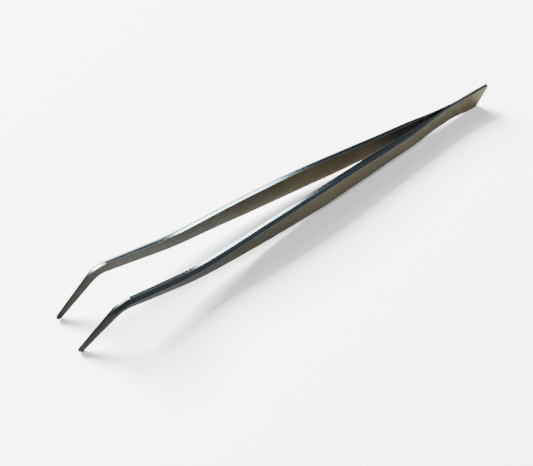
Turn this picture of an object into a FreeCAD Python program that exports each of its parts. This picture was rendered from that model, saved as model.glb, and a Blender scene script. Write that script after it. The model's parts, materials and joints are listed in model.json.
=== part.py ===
import FreeCAD, Part
import math
import os
from FreeCAD import Vector

# Bent-tip precision tweezers: two ground stainless strips, spot-welded together at the tail.
# Millimetres. The tweezers lie on one side: the strips' narrow edges face up and down, the
# opening is along Y, the tail is at +X, and the tips point towards -X and bend down to the
# surface. They stand on the tail's lower edge and the two tips, with the origin at the
# bottom centre of the whole.

# Driving dimensions. "Along" is measured along a strip from the tail end.
stripLength = 150.0       # from the tail end to the tip, round the bend
riseAlong = 107.5         # middle of the long sweep that lifts the front of the arms
riseAngle = 11.6
riseRadius = 70.0
bendAlong = 131.7         # middle of the bend that turns the tips down
bendAngle = 52.4
bendRadius = 6.4
weldedLength = 12.5       # the strips lie face to face this far from the tail end
partingAlong = 16.0       # where each strip flexes, just ahead of the welded tail
partingGap = 0.1          # clearance between the tail leaf and the arm at the flexure

nuggetAlong = (4.5, 8.3)  # spot welds, from the tail end
nuggetRadius = 1.1
nuggetDepth = 0.28        # how far a nugget reaches into each strip
dimpleRadius = 1.3        # the electrode's mark on the outer face
dimpleDepth = 0.05

tailSlant = 3.7           # the tail is cut on a slant: its lower corner lies this far forward
tailCornerRadius = 0.8
tipRounding = 0.9         # the end of the tip closes over this length
tipEndFactor = 0.35       # how much of the section is left at the very end

# Stations of one strip: along, half gap, width, thickness, bevel.
# The inner face stands half a gap from the middle plane; the width is the height of the strip
# as it lies; the bevel is cut at 45 degrees along both long edges of the outer face.
stations = (
    (0.0, 0.0, 7.9, 0.50, 0.11),
    (weldedLength, 0.0, 6.9, 0.50, 0.14),
    (17.0, 0.3, 6.7, 0.56, 0.17),
    (21.0, 0.6, 6.5, 0.70, 0.21),
    (28.0, 1.1, 6.4, 1.25, 0.36),
    (38.0, 1.6, 6.7, 1.70, 0.50),
    (50.0, 2.4, 7.8, 1.88, 0.63),
    (66.0, 3.8, 8.6, 1.86, 0.78),
    (82.0, 4.8, 7.9, 1.84, 0.92),
    (98.0, 5.55, 6.1, 1.90, 1.02),
    (114.0, 5.95, 4.6, 2.00, 1.12),
    (132.0, 6.2, 3.5, 1.88, 1.13),
    (140.0, 6.1, 2.9, 1.48, 0.96),
    (stripLength, 5.95, 2.2, 0.90, 0.62),
)
columns = {"halfGap": 1, "width": 2, "thickness": 3, "bevel": 4}


def slopes(column):
    """Slope at each station: the harmonic mean of the two sides, zero at a turn."""
    steps = [(b[column] - a[column]) / (b[0] - a[0]) for a, b in zip(stations, stations[1:])]
    inner = [2 * a * b / (a + b) if a * b > 0 else 0.0 for a, b in zip(steps, steps[1:])]
    return [0.0] + inner + [steps[-1]]


slopeTable = {name: slopes(column) for name, column in columns.items()}


def sizeAt(name, along):
    """A strip's half gap, width, thickness or bevel at a distance from the tail end."""
    column = columns[name]
    low = max(i for i, row in enumerate(stations[:-1]) if row[0] <= along or i == 0)
    a, b = stations[low], stations[low + 1]
    span = b[0] - a[0]
    t = (along - a[0]) / span
    rise = slopeTable[name][low] * span
    fall = slopeTable[name][low + 1] * span
    return ((2 * t**3 - 3 * t**2 + 1) * a[column] + (t**3 - 2 * t**2 + t) * rise
            + (3 * t**2 - 2 * t**3) * b[column] + (t**3 - t**2) * fall)


def sideRuns():
    """Straight runs and arcs of a strip seen from the side: length and downward curvature."""
    rise = math.radians(riseAngle)
    bend = math.radians(bendAngle)
    riseStart = riseAlong - riseRadius * rise / 2
    riseEnd = riseAlong + riseRadius * rise / 2
    bendStart = bendAlong - bendRadius * bend / 2
    bendEnd = bendAlong + bendRadius * bend / 2
    return ((riseStart, 0.0), (riseEnd - riseStart, -1 / riseRadius), (bendStart - riseEnd, 0.0),
            (bendEnd - bendStart, 1 / bendRadius), (stripLength - bendEnd, 0.0))


def sidePoint(along):
    """Centre line seen from the side: forward distance, height and downward slope."""
    forward, height, angle = 0.0, 0.0, 0.0
    for length, curvature in sideRuns():
        step = min(length, along)
        turned = angle + curvature * step
        if curvature:
            forward += (math.sin(turned) - math.sin(angle)) / curvature
            height += (math.cos(turned) - math.cos(angle)) / curvature
        else:
            forward += step * math.cos(angle)
            height -= step * math.sin(angle)
        angle = turned
        along -= step
    return forward, height, angle


def tipScale(along):
    """The section closes like a quarter ellipse over the last stretch of the tip."""
    past = (along - (stripLength - tipRounding)) / tipRounding
    if past <= 0:
        return 1.0
    return tipEndFactor + (1 - tipEndFactor) * math.sqrt(max(0.0, 1 - past**2))


def corners(along):
    """The six corners of a strip's section: flat inner face, bevelled outer face."""
    forward, height, angle = sidePoint(along)
    scale = tipScale(along)
    half = sizeAt("width", along) * scale / 2
    thick = sizeAt("thickness", along) * scale
    bevel = min(sizeAt("bevel", along) * scale, 0.8 * half, 0.8 * thick)
    inner = sizeAt("halfGap", along)
    outline = ((0, half), (thick - bevel, half), (thick, half - bevel),
               (thick, bevel - half), (thick - bevel, -half), (0, -half))
    return [Vector(forward + up * math.sin(angle), inner + out, height + up * math.cos(angle))
            for out, up in outline]


def closed(points):
    """Closed wire through some points."""
    return Part.makePolygon(points + points[:1])


def section(along):
    """Closed outline across a strip."""
    return closed(corners(along))


def flatRun(start, end):
    """A stretch with no bend in it, every face of it a true plane, so that a clip can seat on it."""
    first, last = corners(start), corners(end)
    count = len(first)
    faces = [Part.Face(closed(ring)) for ring in (first, last)]
    for i in range(count):
        j = (i + 1) % count
        faces.append(Part.Face(closed([first[i], first[j], last[j], last[i]])))
    return Part.Solid(Part.Shell(faces))


def tailLeaf():
    """The welded end of a strip, up to the flexure, with its corners rounded."""
    end = partingAlong - partingGap / 2
    spring = Part.makeLoft([section(along) for along in evenly(weldedLength, end, 5)], True, True)
    leaf = flatRun(0.0, weldedLength).fuse(spring)
    leaf = leaf.common(tailBlank())
    for along in nuggetAlong:
        leaf = leaf.cut(nugget(along))
        face = Vector(along, sizeAt("thickness", along) - dimpleDepth, 0)
        leaf = leaf.cut(Part.makeCylinder(dimpleRadius, 1.0, face, Vector(0, 1, 0)))
    return leaf.Solids[0]


def tailBlank():
    """A thick plate with the tail's outline: a slanted end with two rounded corners."""
    half = sizeAt("width", 0) / 2
    far = partingAlong + 1
    ends = (Vector(0, -1, half), Vector(tailSlant, -1, -half))
    outline = [ends[0], ends[1], Vector(far, -1, -half), Vector(far, -1, half), ends[0]]
    plate = Part.Face(Part.makePolygon(outline)).extrude(Vector(0, 4, 0))
    rounded = [edge for edge in plate.Edges
               if any(edge.CenterOfMass.distanceToPoint(end + Vector(0, 2, 0)) < 1e-6 for end in ends)]
    return plate.makeFillet(tailCornerRadius, rounded)


def nugget(along):
    """A spot weld: a disc of melted metal across the joint between the two leaves."""
    base = Vector(along, -nuggetDepth, 0)
    return Part.makeCylinder(nuggetRadius, 2 * nuggetDepth, base, Vector(0, 1, 0))


def arm():
    """The springing part of a strip, from the flexure round the bend to the tip."""
    start = partingAlong + partingGap / 2
    halfBend = bendRadius * math.radians(bendAngle) / 2
    noseStart = stripLength - tipRounding
    cuts = evenly(start, bendAlong - halfBend, 18)
    cuts += evenly(bendAlong - halfBend, bendAlong + halfBend, 5)[1:]
    cuts += evenly(bendAlong + halfBend, noseStart, 5)[1:]
    cuts += [noseStart + tipRounding * math.sin(math.pi / 2 * i / 4) for i in range(1, 5)]
    return Part.makeLoft([section(along) for along in cuts], True, False).Solids[0]


def evenly(low, high, count):
    """Evenly spaced distances, both ends included."""
    return [low + (high - low) * i / (count - 1) for i in range(count)]


def mirrored(shape):
    """The same piece on the other side of the middle plane."""
    return shape.mirror(Vector(0, 0, 0), Vector(0, 1, 0)).Solids[0]


def meshPoints(shape):
    """Points spread over a shape's skin, for its true extent."""
    return shape.tessellate(0.01)[0]


def placement(leaf, blade):
    """Turns the tail to +X, tilts the tweezers until the tail and the tips stand on one level,
    and centres them over the origin."""
    turn = FreeCAD.Rotation(Vector(0, 0, 1), 180)
    tilt = 0.0
    for _ in range(6):
        rotation = FreeCAD.Rotation(Vector(0, 1, 0), math.degrees(tilt)).multiply(turn)
        tail = min((rotation.multVec(p) for p in meshPoints(leaf)), key=lambda p: p.z)
        tip = min((rotation.multVec(p) for p in meshPoints(blade)), key=lambda p: p.z)
        tilt += math.atan2(tail.z - tip.z, tail.x - tip.x)
    ends = [rotation.multVec(p).x for shape in (leaf, blade) for p in meshPoints(shape)]
    return FreeCAD.Placement(Vector(-(min(ends) + max(ends)) / 2, 0, -min(tail.z, tip.z)), rotation)


def report(place, parts):
    """Prints the flexure axes and the sizes that a record of this part needs."""
    axis = place.Rotation.multVec(Vector(0, 0, 1))
    pivotY = sizeAt("halfGap", partingAlong) + sizeAt("thickness", partingAlong) / 2
    pivot = place.multVec(Vector(partingAlong, pivotY, 0))
    print("flexure axis", [round(v, 5) for v in axis], "pivot", [round(v, 3) for v in pivot])
    for name, shape in parts.items():
        box = shape.optimalBoundingBox()
        low = [round(v, 2) for v in (box.XMin, box.YMin, box.ZMin)]
        high = [round(v, 2) for v in (box.XMax, box.YMax, box.ZMax)]
        print(name, "valid" if shape.isValid() else "INVALID", "volume", round(shape.Volume, 2), low, high)


def build():
    """All pieces in their final places, by node name."""
    leaf = tailLeaf()
    blade = arm()
    parts = {
        "right_tail_leaf": mirrored(leaf),
        "left_tail_leaf": leaf,
        "right_arm": mirrored(blade),
        "left_arm": blade,
        "weld_nuggets": Part.makeCompound([nugget(along) for along in nuggetAlong]),
    }
    place = placement(leaf, blade)
    placed = {}
    for name, shape in parts.items():
        copy = shape.copy()
        copy.Placement = place.multiply(copy.Placement)
        placed[name] = copy
    report(place, placed)
    return placed


os.makedirs("parts", exist_ok=True)
for node, solid in build().items():
    solid.exportStep(f"parts/{node}.step")
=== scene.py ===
import json
import math
import bpy
import numpy as np
from mathutils import Matrix, Vector


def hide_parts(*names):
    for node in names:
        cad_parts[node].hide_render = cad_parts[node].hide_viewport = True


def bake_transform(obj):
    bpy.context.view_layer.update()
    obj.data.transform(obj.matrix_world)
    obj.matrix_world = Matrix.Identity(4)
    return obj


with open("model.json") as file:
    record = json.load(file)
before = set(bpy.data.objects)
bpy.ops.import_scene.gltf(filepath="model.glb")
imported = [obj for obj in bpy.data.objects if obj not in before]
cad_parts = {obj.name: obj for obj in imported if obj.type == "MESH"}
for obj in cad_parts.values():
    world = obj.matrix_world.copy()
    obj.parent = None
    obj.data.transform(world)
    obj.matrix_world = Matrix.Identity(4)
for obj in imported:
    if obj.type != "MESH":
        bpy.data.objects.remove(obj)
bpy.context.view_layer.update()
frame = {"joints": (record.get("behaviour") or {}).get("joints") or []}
mm = 0.001
joints = {joint["name"]: joint for joint in frame["joints"]}


class Socket:
    # an output of a shader node, on which arithmetic adds a Math node
    def __init__(self, tree, output):
        self.tree = tree
        self.output = output

    def maths(self, operation, first, second):
        node = self.tree.nodes.new("ShaderNodeMath")
        node.operation = operation
        for place, value in zip(node.inputs, (first, second)):
            if isinstance(value, Socket):
                self.tree.links.new(value.output, place)
            else:
                place.default_value = value
        return Socket(self.tree, node.outputs[0])

    def __add__(self, other):
        return self.maths("ADD", self, other)

    def __sub__(self, other):
        return self.maths("SUBTRACT", self, other)

    def __rsub__(self, other):
        return self.maths("SUBTRACT", other, self)

    def __mul__(self, other):
        return self.maths("MULTIPLY", self, other)

    def __truediv__(self, other):
        return self.maths("DIVIDE", self, other)

    __radd__ = __add__
    __rmul__ = __mul__

    def limited(self):
        return self.maths("MINIMUM", self.maths("MAXIMUM", self, 0.0), 1.0)

    def ramp(self, low, high):
        # 0 below low, 1 above high and smooth between; low above high turns it round
        t = ((self - low) / (high - low)).limited()
        return t * t * (3.0 - 2.0 * t)


class Shader:
    # the node tree of a new material, or of a world
    def __init__(self, owner):
        self.owner = owner
        owner.use_nodes = True
        self.tree = owner.node_tree
        self.tree.nodes.clear()

    def add(self, kind, settings=None, inputs=None, output=0):
        # any node: its settings, its inputs by name or number, and the output that is wanted
        node = self.tree.nodes.new(kind)
        for name, value in (settings or {}).items():
            setattr(node, name, value)
        for place, value in (inputs or {}).items():
            if isinstance(value, Socket):
                self.tree.links.new(value.output, node.inputs[place])
            else:
                node.inputs[place].default_value = value
        return None if output is None else Socket(self.tree, node.outputs[output])

    def attribute(self, name):
        return self.add("ShaderNodeAttribute", {"attribute_name": name}, output="Fac")

    def part(self, vector, axis):
        return self.add("ShaderNodeSeparateXYZ", None, {0: vector}, axis)

    def vector(self, x, y, z):
        return self.add("ShaderNodeCombineXYZ", None, {0: x, 1: y, 2: z})

    def noise(self, place, scale, detail=2.0, roughness=0.5):
        inputs = {"Vector": place, "Scale": scale, "Detail": detail, "Roughness": roughness}
        return self.add("ShaderNodeTexNoise", None, inputs)

    def mix(self, factor, first, second):
        return self.add("ShaderNodeMix", {"data_type": "RGBA"}, {0: factor, 6: first, 7: second}, 2)

    def finish(self, color, roughness, height, distance, metallic=1.0, fixed=None):
        bump = self.add("ShaderNodeBump", None, {"Distance": distance, "Height": height})
        inputs = {"Base Color": color, "Roughness": roughness, "Metallic": metallic, "Normal": bump}
        inputs.update(fixed or {})
        surface = self.add("ShaderNodeBsdfPrincipled", None, inputs)
        self.add("ShaderNodeOutputMaterial", None, {"Surface": surface}, None)
        return self.owner


# One strip of steel, tail to tip, in millimetres. Each station is the distance from the tail end,
# half the gap between the strips, the strip's height, its thickness and its bevel.
strip = {
    "length": 150.0,
    "flexAlong": 16.0,
    "stations": [
        (0.0, 0.0, 7.9, 0.50, 0.11),
        (12.5, 0.0, 6.9, 0.50, 0.14),
        (17.0, 0.3, 6.7, 0.56, 0.17),
        (21.0, 0.6, 6.5, 0.70, 0.21),
        (28.0, 1.1, 6.4, 1.25, 0.36),
        (38.0, 1.6, 6.7, 1.70, 0.50),
        (50.0, 2.4, 7.8, 1.88, 0.63),
        (66.0, 3.8, 8.6, 1.86, 0.78),
        (82.0, 4.8, 7.9, 1.84, 0.92),
        (98.0, 5.55, 6.1, 1.90, 1.02),
        (114.0, 5.95, 4.6, 2.00, 1.12),
        (132.0, 6.2, 3.5, 1.88, 1.13),
        (140.0, 6.1, 2.9, 1.48, 0.96),
        (150.0, 5.95, 2.2, 0.90, 0.62),
    ],
    "rise": (107.5, 11.6, 70.0),      # the front lifts: along, degrees, radius
    "bend": (131.7, 52.4, 6.4),       # the tips turn down: along, degrees, radius
    "tailSlant": 3.7,                 # the tail's lower corner is cut back this far
    "tailCorner": 0.8,
    "slantFade": 9.0,
    "noseLength": 1.0,
    "innerBreak": 0.06,               # how far the sharp corners are softened
    "bevelBreak": 0.12,
    "tipBreak": 0.5,
    "endBreak": 0.09,
    "endRings": (0.93, 0.6, 0.35, 0.22, 0.12, 0.05),
    "endRound": 0.35,                 # the share of the half thickness over which the end is rounded
    "weldAlong": (4.5, 8.3),
    "weldRadius": 1.3,
    "weldDepth": 0.04,
    "bendReach": 40.0,                # a point is set this far past the flexure, along the strip
}

faceNames = ["topEdge", "topBevel", "outer", "lowBevel", "lowEdge", "inner"]
faceSteps = [4, 5, 26, 5, 4, 20]
cornerSteps = 5


def smoothStep(value, low, high):
    t = np.clip((value - low) / (high - low), 0, 1)
    return t * t * (3 - 2 * t)


def stationCurves(along):
    # cubic through the stations: the slope at a station is the harmonic mean of its two sides' slopes
    table = np.array(strip["stations"])
    place = table[:, 0]
    value = table[:, 1:]
    step = np.diff(value, axis=0) / np.diff(place)[:, None]
    product = step[:-1] * step[1:]
    total = np.where(product > 0, step[:-1] + step[1:], 1)
    mean = np.where(product > 0, 2 * product / total, 0)
    slope = np.vstack([np.zeros(4), mean, step[-1]])
    low = np.clip(np.searchsorted(place, along, side="right") - 1, 0, len(place) - 2)
    span = (place[low + 1] - place[low])[:, None]
    t = (along[:, None] - place[low][:, None]) / span
    curve = (2 * t**3 - 3 * t**2 + 1) * value[low] + (3 * t**2 - 2 * t**3) * value[low + 1]
    curve += span * ((t**3 - 2 * t**2 + t) * slope[low] + (t**3 - t**2) * slope[low + 1])
    return curve.T


def sideCurve(along):
    # the centre line seen from the side: straight runs and arcs, one after another
    riseAt, riseTurn, riseRadius = strip["rise"]
    bendAt, bendTurn, bendRadius = strip["bend"]
    riseHalf = riseRadius * math.radians(riseTurn) / 2
    bendHalf = bendRadius * math.radians(bendTurn) / 2
    runs = [
        (riseAt - riseHalf, 0),
        (2 * riseHalf, -1 / riseRadius),
        (bendAt - bendHalf - riseAt - riseHalf, 0),
        (2 * bendHalf, 1 / bendRadius),
        (strip["length"] - bendAt - bendHalf, 0),
    ]
    forward = np.zeros_like(along)
    height = np.zeros_like(along)
    heading = np.zeros_like(along)
    left = along.copy()
    for length, curvature in runs:
        step = np.clip(left, 0, length)
        turned = heading + curvature * step
        if curvature:
            forward += (np.sin(turned) - np.sin(heading)) / curvature
            height += (np.cos(turned) - np.cos(heading)) / curvature
        else:
            forward += step * np.cos(heading)
            height -= step * np.sin(heading)
        heading = turned
        left -= step
    return forward, height, heading


def alongRows():
    # close together at the slanted tail, the weld marks, the bend and the nose
    bendAt = strip["bend"][0]
    noseStart = strip["length"] - strip["noseLength"]
    nose = noseStart + strip["noseLength"] * np.sin(np.linspace(0, math.pi / 2, 14))
    runs = [(0, 0.5, 5), (0.5, 12, 80), (12, 22, 20), (22, bendAt - 6, 130),
            (bendAt - 6, bendAt + 6, 44), (bendAt + 6, noseStart, 40)]
    rows = [np.linspace(*run) for run in runs] + [nose]
    return np.unique(np.round(np.concatenate(rows), 5))


def profile(half, thick, bevel, breaks):
    # the outline across the strip, a row for each place along it. Six straight faces; a corner C is
    # rounded as (1-t)^2 P + 2t(1-t) C + t^2 Q between two points P and Q cut back along its faces.
    # Also gives each point's share of the six faces.
    zero = 0 * half
    outline = [(zero, half), (thick - bevel, half), (thick, half - bevel),
               (thick, bevel - half), (thick - bevel, -half), (zero, -half)]
    corner = np.stack([np.stack(point, -1) for point in outline], 1)
    edge = np.roll(corner, -1, axis=1) - corner
    size = np.linalg.norm(edge, axis=-1)
    ahead = edge / np.maximum(size, 1e-9)[..., None]
    behind = np.roll(ahead, 1, axis=1)
    cut = np.minimum(breaks, 0.44 * np.minimum(size, np.roll(size, 1, axis=1)))
    entry = corner - behind * cut[..., None]
    leave = corner + ahead * cut[..., None]
    points = []
    shares = []
    for i, steps in enumerate(faceSteps):
        for t in np.linspace(0, 1, cornerSteps):
            curve = (1 - t)**2 * entry[:, i] + 2 * t * (1 - t) * corner[:, i] + t**2 * leave[:, i]
            points.append(curve)
            shares.append((1 - t) * np.eye(6)[i - 1] + t * np.eye(6)[i])
        end = entry[:, (i + 1) % 6]
        for t in 0.5 - 0.5 * np.cos(np.linspace(0, math.pi, steps + 2)[1:-1]):
            points.append(leave[:, i] + (end - leave[:, i]) * t)
            shares.append(np.eye(6)[i])
    return np.stack(points, 1), np.array(shares)


def tailShift(up, half):
    # the tail's end at a height: a slanted line with a quarter circle at each corner
    corner = strip["tailCorner"]
    past = np.clip(np.abs(up) - (half - corner), 0, corner)
    slant = strip["tailSlant"] * (half - up) / (2 * half)
    return slant + corner - np.sqrt(corner**2 - past**2)


def stripRows():
    # point(along, around) = centre(along) + out across + up along the strip's height, and the rows
    # that close the tail's end: each keeps its height and narrows onto the middle of the thickness
    along = alongRows()
    halfGap, height, thick, bevel = stationCurves(along)
    past = np.clip((along - strip["length"]) / strip["noseLength"] + 1, 0, 1)
    nose = np.maximum(np.sqrt(1 - past**2), 0.05)
    half = height / 2 * nose
    thick = thick * nose
    bevel = np.minimum(bevel * nose, 0.8 * np.minimum(half, thick))
    front = smoothStep(along, strip["bend"][0] - 3, strip["bend"][0] + 6)
    outerBreak = strip["bevelBreak"] + (strip["tipBreak"] - strip["bevelBreak"]) * front
    innerBreak = strip["innerBreak"] * (1 + front)
    breaks = np.stack([innerBreak] + [outerBreak] * 4 + [innerBreak], 1)
    points, shares = profile(half, thick, bevel, breaks)
    out = points[..., 0]
    up = points[..., 1]
    forward, rise, heading = sideCurve(along)
    fade = np.clip(1 - along / strip["slantFade"], 0, 1)[:, None]
    x = forward[:, None] + up * np.sin(heading)[:, None] + tailShift(up, half[:, None]) * fade
    z = rise[:, None] + up * np.cos(heading)[:, None]
    for place in strip["weldAlong"]:
        distance = np.hypot(x - place, z) / strip["weldRadius"]
        out = out - strip["weldDepth"] * shares[:, 2] * (1 - smoothStep(distance, 0.7, 1.05))
    y = halfGap[:, None] + out
    grid = np.stack([x, y, z], -1)
    place = np.stack([np.repeat(along[:, None], out.shape[1], 1), out, up, up / half[:, None]], -1)
    first = grid[0]
    middle = thick[0] / 2
    ends = []
    for share in strip["endRings"]:
        ring = first.copy()
        drop = 1 - math.sqrt(1 - (1 - min(share / strip["endRound"], 1))**2)
        ring[:, 1] = middle + (first[:, 1] - middle) * (1 - share)
        ring[:, 0] = first[:, 0] - strip["endBreak"] * (1 - drop)
        ends.append(ring)
    grid = np.concatenate([np.stack(ends), grid])
    place = np.concatenate([np.repeat(place[:1], len(ends), 0), place])
    return grid, place, np.broadcast_to(shares, grid.shape[:2] + (6,))


def addMesh(name, points, faces):
    mesh = bpy.data.meshes.new(name)
    mesh.from_pydata(points.reshape(-1, 3).tolist(), [], faces)
    mesh.validate()
    mesh.shade_smooth()
    piece = bpy.data.objects.new(name, mesh)
    bpy.context.scene.collection.objects.link(piece)
    return piece


def gridFaces(rows, count, flip):
    # quads round the closed profile, and one face over each small end ring
    i, j = np.meshgrid(np.arange(rows - 1), np.arange(count), indexing="ij")
    k = (j + 1) % count
    quads = np.stack([i * count + j, (i + 1) * count + j, (i + 1) * count + k, i * count + k], -1)
    faces = quads.reshape(-1, 4).tolist()
    faces.append(list(range(count)))
    faces.append(list(range((rows - 1) * count, rows * count))[::-1])
    if flip:
        faces = [face[::-1] for face in faces]
    return faces


def store(mesh, name, values):
    layer = mesh.attributes.new(name, "FLOAT", "POINT")
    layer.data.foreach_set("value", np.ascontiguousarray(values, dtype=np.float32).ravel())


def makeStrip(name, side, jointName):
    # the strip's own axes come from the flexure: forward to the tips, out from the middle, up
    joint = joints[jointName]
    pivot = np.array(joint["pos_m"]) / mm
    upward = np.array(joint["axis"]) * side
    forward = np.array([-upward[2], 0, upward[0]])
    grid, place, shares = stripRows()
    offset = grid - np.array([strip["flexAlong"], 0, 0])
    points = np.array([pivot[0], 0, pivot[2]]) + offset[..., :1] * forward + offset[..., 2:] * upward
    points = points + offset[..., 1:2] * np.array([0, side, 0])
    faces = gridFaces(*grid.shape[:2], side > 0)
    piece = addMesh(name, points * mm, faces)
    store(piece.data, "along", place[..., 0])
    store(piece.data, "out", place[..., 1])
    store(piece.data, "up", place[..., 2])
    store(piece.data, "level", place[..., 3])
    for i, face in enumerate(faceNames):
        store(piece.data, face, shares[..., i])
    start = Vector(joint["pos_m"])
    end = start + Vector(forward) * strip["bendReach"] * mm
    return piece, start, end


# Steel of a strip. Its colours carry painted reflection, light and shade, each marked where it is set.
# Pairs of lengths, in millimetres from the tail, say where a change begins and where it is complete. The
# grain runs along the broad faces and on a slant across the narrow edges.
steel = {
    # painted reflection: the dark olive of the broad faces stands in for a dark surround mirrored in the
    # steel; the warm variant differs at random
    "satinPaintedReflection": (0.060, 0.054, 0.034, 1),
    "satinWarm": (0.068, 0.059, 0.035, 1),
    # painted light: the faces lighter towards the tail, where they mirror their own shadow
    "satinTailPaintedLight": (0.074, 0.065, 0.039, 1),
    # painted shade: the faces darker towards the tips, where they mirror the bright table
    "satinFrontPaintedShade": (0.021, 0.020, 0.015, 1),
    # painted light: the inner face lighter over its middle, where the other strip shades it
    "satinInnerPaintedLight": (0.100, 0.088, 0.053, 1),
    # painted shade: the inner face darker in the crotch between the strips
    "satinCrotchPaintedShade": (0.016, 0.014, 0.010, 1),
    "shade": (0.018, 0.012, 0.009, 1),
    # painted shade: the bent tips darker, where they mirror the dark room
    "tip": (0.013, 0.0115, 0.006, 1),
    # painted shade: the polished edges dark at the tips
    "tipEdgePaintedShade": (0.010, 0.010, 0.009, 1),
    # partly real, partly painted: bright polished steel, its cyan tint a painted reflection of the window
    "edge": (0.60, 0.73, 0.77, 1),
    # painted shade: the polished edges darker towards the tail
    "edgeTailPaintedShade": (0.30, 0.35, 0.38, 1),
    # painted reflection: the bevels' dark blue stands in for the dark room they mirror
    "bevel": (0.050, 0.063, 0.074, 1),
    "rim": (0.42, 0.42, 0.42, 1),
    "tipAt": (126.0, 136.0),
    "tailLightAt": (50.0, 10.0),
    "innerLightAt": (84.0, 60.0),
    "crotchShadeAt": (46.0, 29.0),
    "frontShadeAt": (62.0, 108.0),
    "edgeTailShadeAt": (68.0, 58.0),
    "shadeAt": (-0.80, -0.96),        # share of the half height, towards the lower edge
    "shadeShare": 0.8,
    "tipShare": 0.85,
    "tipSpread": 0.3,
    "tipBevel": 0.8,
    "tipRim": 0.95,
    "cloud": (0.05, 0.12),            # noise scales along and across
    "cloudRange": (0.35, 0.65),
    "grain": (0.35, 14.0),
    "grind": (5.0, 0.4),
    "grindSlant": 1.6,
    "fine": 3.0,
    "satinMetal": 0.55,
    "satinRough": 0.48,
    "grainRough": 0.16,
    "cloudRough": 0.12,
    "edgeRough": 0.13,
    "grindRough": 0.1,
    "bevelRough": 0.2,
    "tipRough": 0.12,
    "grainDepth": 0.004,
    "specular": 0.25,
}


def stripSteel(name, seed):
    s = Shader(bpy.data.materials.new(name))
    along = s.attribute("along")
    up = s.attribute("up")
    out = s.attribute("out")
    level = s.attribute("level")
    inner = s.attribute("inner")
    polished = (s.attribute("topEdge") + s.attribute("lowEdge")).limited()
    bevel = (s.attribute("topBevel") + s.attribute("lowBevel")).limited()
    length, across = steel["cloud"]
    cloud = s.noise(s.vector(along * length + seed, up * across, out * across), 1.0, 3.0)
    length, across = steel["grain"]
    grain = s.noise(s.vector(along * length + seed, up * across, out * across), 1.0, 3.0, 0.6)
    length, across = steel["grind"]
    slanted = (along - out * steel["grindSlant"]) * length + seed
    grind = s.noise(s.vector(slanted, out * across, up * across), 1.0, 2.0, 0.6)
    scale = steel["fine"]
    fine = s.noise(s.vector(along * scale + seed, up * scale, out * scale), 1.0, 4.0, 0.6)
    tip = along.ramp(*steel["tipAt"])
    # painted reflection: the broad faces' dark olive base, its tone varied at random by the cloud; the
    # mixes below add painted light and shade to it
    satinPaintedReflection = s.mix(cloud.ramp(*steel["cloudRange"]), steel["satinPaintedReflection"], steel["satinWarm"])
    # painted light: lighter towards the tail
    satinPaintedReflection = s.mix(along.ramp(*steel["tailLightAt"]), satinPaintedReflection, steel["satinTailPaintedLight"])
    # painted light: lighter inner face over the middle
    satinPaintedReflection = s.mix(inner * along.ramp(*steel["innerLightAt"]), satinPaintedReflection, steel["satinInnerPaintedLight"])
    # painted shade: darker inner face in the crotch
    satinPaintedReflection = s.mix(inner * along.ramp(*steel["crotchShadeAt"]), satinPaintedReflection, steel["satinCrotchPaintedShade"])
    # painted shade: darker towards the tips
    satinPaintedReflection = s.mix(along.ramp(*steel["frontShadeAt"]), satinPaintedReflection, steel["satinFrontPaintedShade"])
    # painted shade: darker tips, mottled by fine noise
    tipShadeMask = (tip * steel["tipShare"] + (fine - 0.5) * steel["tipSpread"]).limited()
    satinPaintedReflection = s.mix(tipShadeMask, satinPaintedReflection, steel["tip"])
    satinPaintedReflection = s.mix(level.ramp(*steel["shadeAt"]) * steel["shadeShare"], satinPaintedReflection, steel["shade"])
    # painted reflection: dark blue bevels, turning to the painted tip shade at the tips
    color = s.mix(bevel, satinPaintedReflection, s.mix(tip * steel["tipBevel"], steel["bevel"], steel["tip"]))
    # the polished edge colour: bright steel with a painted reflection's cyan tint, darker towards the tail
    # as painted shade
    edge = s.mix(along.ramp(*steel["edgeTailShadeAt"]), steel["edge"], steel["edgeTailPaintedShade"])
    # painted shade on the polished edges at the tips
    color = s.mix(polished, color, s.mix(tip * steel["tipRim"], edge, steel["tipEdgePaintedShade"]))
    rough = steel["satinRough"] + (grain - 0.5) * steel["grainRough"] + (cloud - 0.5) * steel["cloudRough"]
    rough = rough + bevel * (steel["bevelRough"] - rough)
    rough = rough + polished * (steel["edgeRough"] + (grind - 0.5) * steel["grindRough"] - rough)
    rough = (rough + tip * steel["tipRough"]).limited()
    metal = steel["satinMetal"] + (bevel + polished).limited() * (1.0 - steel["satinMetal"])
    height = (1.0 - polished) * grain * 0.5 + polished * grind * 0.5
    fixed = {"Specular Tint": steel["rim"], "Specular IOR Level": steel["specular"]}
    return s.finish(color, rough, height, steel["grainDepth"] * mm, metal, fixed)


def placeStrip(name, side, jointName, nodes, seed):
    piece, start, end = makeStrip(name, side, jointName)
    piece.data.materials.append(stripSteel(name + "Steel", seed))
    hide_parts(*nodes)
    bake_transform(piece)
    print(name, "made:", len(piece.data.polygons), "faces")


placeStrip("leftStrip", -1, "left_flexure", ("left_arm", "left_tail_leaf"), 3.0)
placeStrip("rightStrip", 1, "right_flexure", ("right_arm", "right_tail_leaf"), 41.0)


# The spot welds keep their CAD shape.
weld = {
    "dark": (0.30, 0.28, 0.25, 1),
    "pale": (0.42, 0.38, 0.30, 1),
    "scale": 900.0,
    "rough": 0.35,
    "roughSpread": 0.2,
    "depth": 0.01,
}


def weldSteel():
    s = Shader(bpy.data.materials.new("weldSteel"))
    place = s.add("ShaderNodeTexCoord", output="Object")
    cloud = s.noise(place, weld["scale"], 3.0)
    color = s.mix(cloud, weld["dark"], weld["pale"])
    return s.finish(color, weld["rough"] + cloud * weld["roughSpread"], cloud, weld["depth"] * mm)


nuggets = bpy.data.objects["weld_nuggets"]
if not nuggets.material_slots:
    nuggets.data.materials.append(None)
for slot in nuggets.material_slots:
    slot.material = weldSteel()
print("weld nuggets finished")


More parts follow.
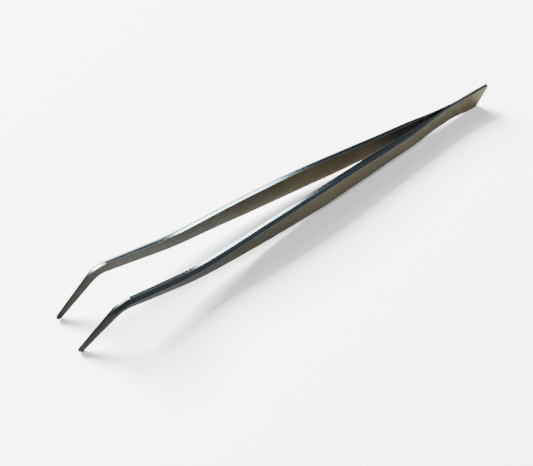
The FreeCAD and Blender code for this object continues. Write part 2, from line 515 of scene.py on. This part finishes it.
# The table, a pale even surface.
floor = {
    "size": 1.6,                      # metres
    "drop": 0.00002,
    "cells": 8,
    "color": (0.93, 0.93, 0.93, 1),
    "rough": 0.75,
    "speckScale": 400.0,
    "speckDepth": 0.00001,
}


def makeFloor():
    # a flat square grid just under the lowest point
    half = floor["size"] / 2
    cells = floor["cells"]
    line = np.linspace(-half, half, cells + 1)
    x, y = np.meshgrid(line, line, indexing="ij")
    points = np.stack([x, y, 0 * x - floor["drop"]], -1)
    i, j = np.meshgrid(np.arange(cells), np.arange(cells), indexing="ij")
    first = i * (cells + 1) + j
    quads = np.stack([first, first + cells + 1, first + cells + 2, first + 1], -1)
    piece = addMesh("tableTop", points, quads.reshape(-1, 4).tolist())
    s = Shader(bpy.data.materials.new("palePaper"))
    speck = s.noise(s.add("ShaderNodeTexCoord", output="Object"), floor["speckScale"], 2.0)
    piece.data.materials.append(s.finish(floor["color"], floor["rough"], speck, floor["speckDepth"], 0.0))


makeFloor()
print("table made")

lights = {
    # name: place, aim, width, depth (m), watts, colour
    "keySoft": ((-0.16, 0.98, 0.70), (0.0, 0.0, 0.0), 0.60, 0.60, 175.0, (1.0, 0.99, 0.98)),
    "topSoft": ((-0.35, -0.25, 1.05), (0.0, 0.0, 0.0), 0.50, 0.50, 9.5, (1.0, 0.99, 0.98)),
    "edgeWindow": ((-0.052, 0.372, 0.64), (-0.052, 0.372, 0.0), 0.585, 0.11, 1.9, (0.76, 0.97, 1.0)),
}


def makeLight(name, place, aim, width, depth, watts, color):
    data = bpy.data.lights.new(name, "AREA")
    data.shape = "RECTANGLE"
    data.size = width
    data.size_y = depth
    data.energy = watts
    data.color = color
    lamp = bpy.data.objects.new(name, data)
    lamp.location = place
    lamp.rotation_euler = (Vector(aim) - Vector(place)).to_track_quat("-Z", "Y").to_euler()
    bpy.context.scene.collection.objects.link(lamp)


for name, values in lights.items():
    makeLight(name, *values)

# The room: pale behind the camera and round the horizon, dark high up beyond the table.
room = {
    "near": (0.62, 0.64, 0.65, 1),
    "far": (0.045, 0.055, 0.065, 1),
    "depth": (-0.55, 0.35),           # the dark side begins and is complete, by a direction's Y
    "height": (0.12, 0.45),           # and by its Z
}


def makeRoom():
    world = bpy.data.worlds.new("room")
    bpy.context.scene.world = world
    s = Shader(world)
    direction = s.add("ShaderNodeTexCoord", output="Generated")
    dark = s.part(direction, "Y").ramp(*room["depth"]) * s.part(direction, "Z").ramp(*room["height"])
    back = s.add("ShaderNodeBackground", None, {"Color": s.mix(dark, room["near"], room["far"])})
    s.add("ShaderNodeOutputWorld", None, {"Surface": back}, None)


makeRoom()

# The camera looks down over the near tip towards the tail, a little turned about its own axis.
view = {
    "place": (-0.1155, -0.1753, 0.3105),
    "azimuth": -31.68,
    "elevation": 56.84,
    "roll": 2.35,
    "lens": 87.15,                    # millimetres
    "sensor": 36,
    "clip": 0.01,
}


def makeCamera():
    azimuth = math.radians(view["azimuth"])
    elevation = math.radians(view["elevation"])
    roll = math.radians(view["roll"])
    level = Vector((-math.sin(azimuth), math.cos(azimuth), 0)) * math.cos(elevation)
    ahead = level - Vector((0, 0, math.sin(elevation)))
    right = ahead.cross(Vector((0, 0, 1))).normalized()
    down = ahead.cross(right)
    turnedRight = right * math.cos(roll) + down * math.sin(roll)
    turnedDown = down * math.cos(roll) - right * math.sin(roll)
    data = bpy.data.cameras.new("camera")
    data.lens = view["lens"]
    data.sensor_width = view["sensor"]
    data.clip_start = view["clip"]
    camera = bpy.data.objects.new("camera", data)
    axes = Matrix((turnedRight, -turnedDown, -ahead)).transposed().to_4x4()
    camera.matrix_world = Matrix.Translation(Vector(view["place"])) @ axes
    bpy.context.scene.collection.objects.link(camera)
    bpy.context.scene.camera = camera


makeCamera()
print("lights, room and camera set")
